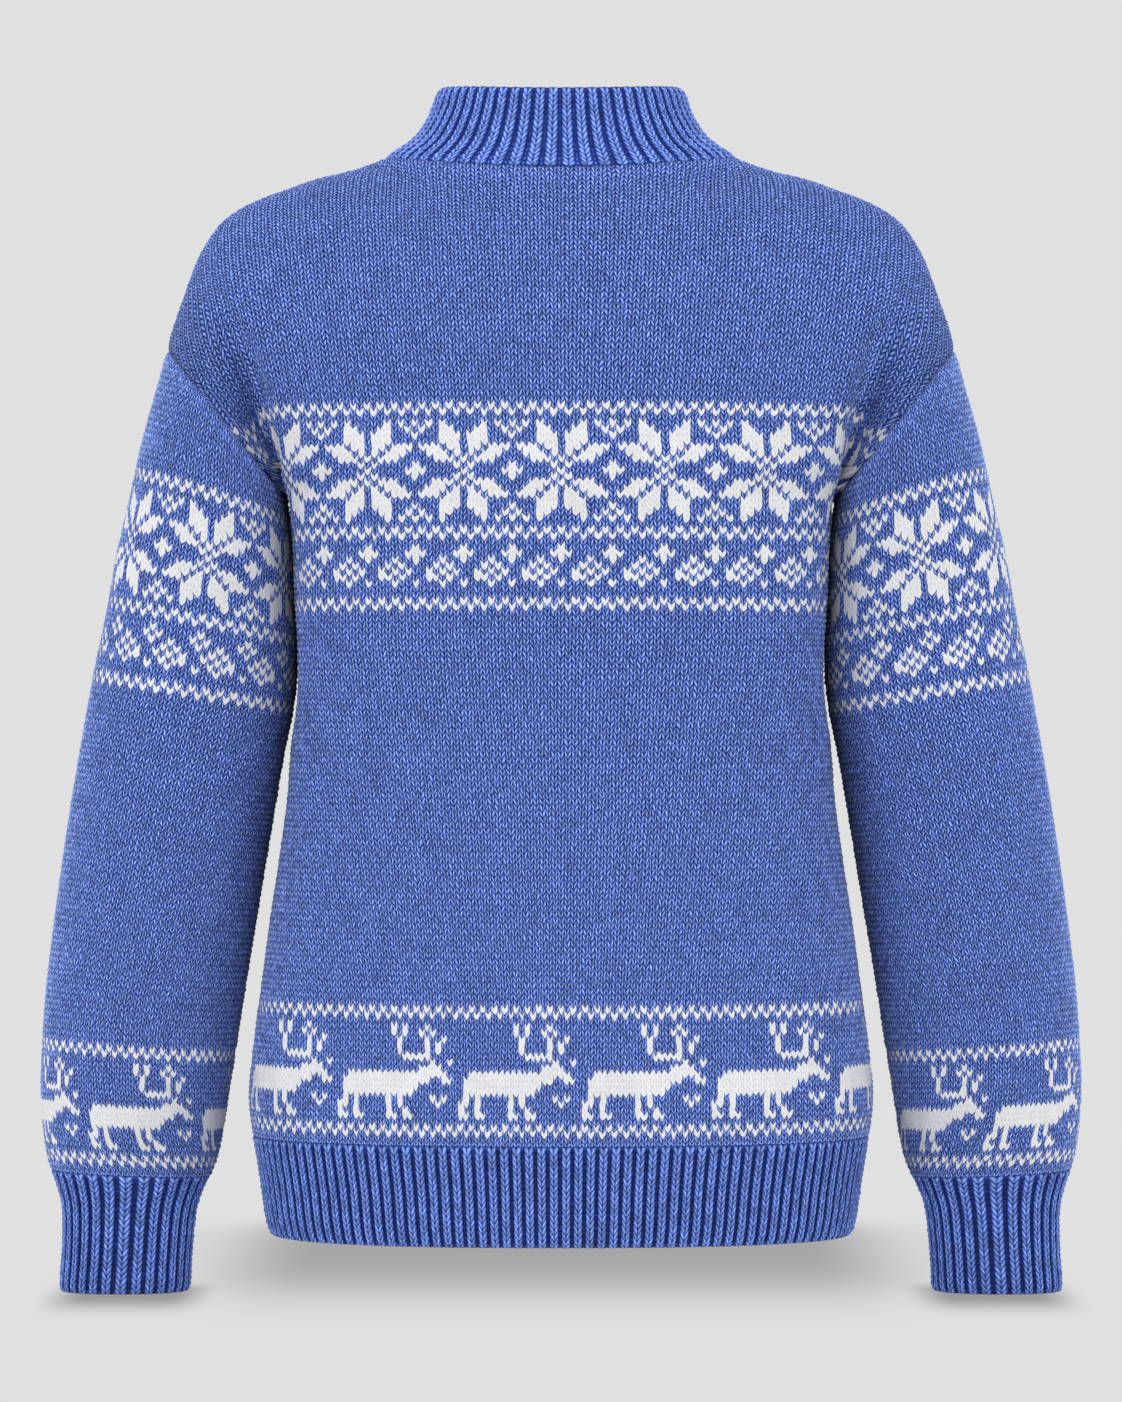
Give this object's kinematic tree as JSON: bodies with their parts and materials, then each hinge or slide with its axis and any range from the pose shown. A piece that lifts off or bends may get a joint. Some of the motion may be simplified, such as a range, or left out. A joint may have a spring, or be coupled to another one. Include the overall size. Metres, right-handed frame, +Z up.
{
  "type": "knitted sweater",
  "caption": "Knitted pullover with ribbed mock neck, drop shoulders and ribbed hem and cuffs, filled out with no wearer, with open neck, hem, sleeves and cuffs.",
  "frame": {"origin": "middle of the neck's base, level with the neck corners, where the garment hangs on the wearer", "axes": "+Z up; the back of the garment faces -Y and its front +Y; the wearer's right side is +X"},
  "size_m": [0.6256, 0.2509, 0.7235],
  "materials": {
    "blue_wool_knit": "soft stranded wool knit, blue with white pattern",
    "blue_wool_rib": "one by one wool rib"
  },
  "bodies": {
    "root": {"back_panel": "blue_wool_knit", "front_panel": "blue_wool_knit", "left_sleeve": "blue_wool_knit", "right_sleeve": "blue_wool_knit", "back_hem_rib": "blue_wool_rib", "front_hem_rib": "blue_wool_rib", "left_cuff": "blue_wool_rib", "right_cuff": "blue_wool_rib", "neckband": "blue_wool_rib"}
  },
  "joints": []
}
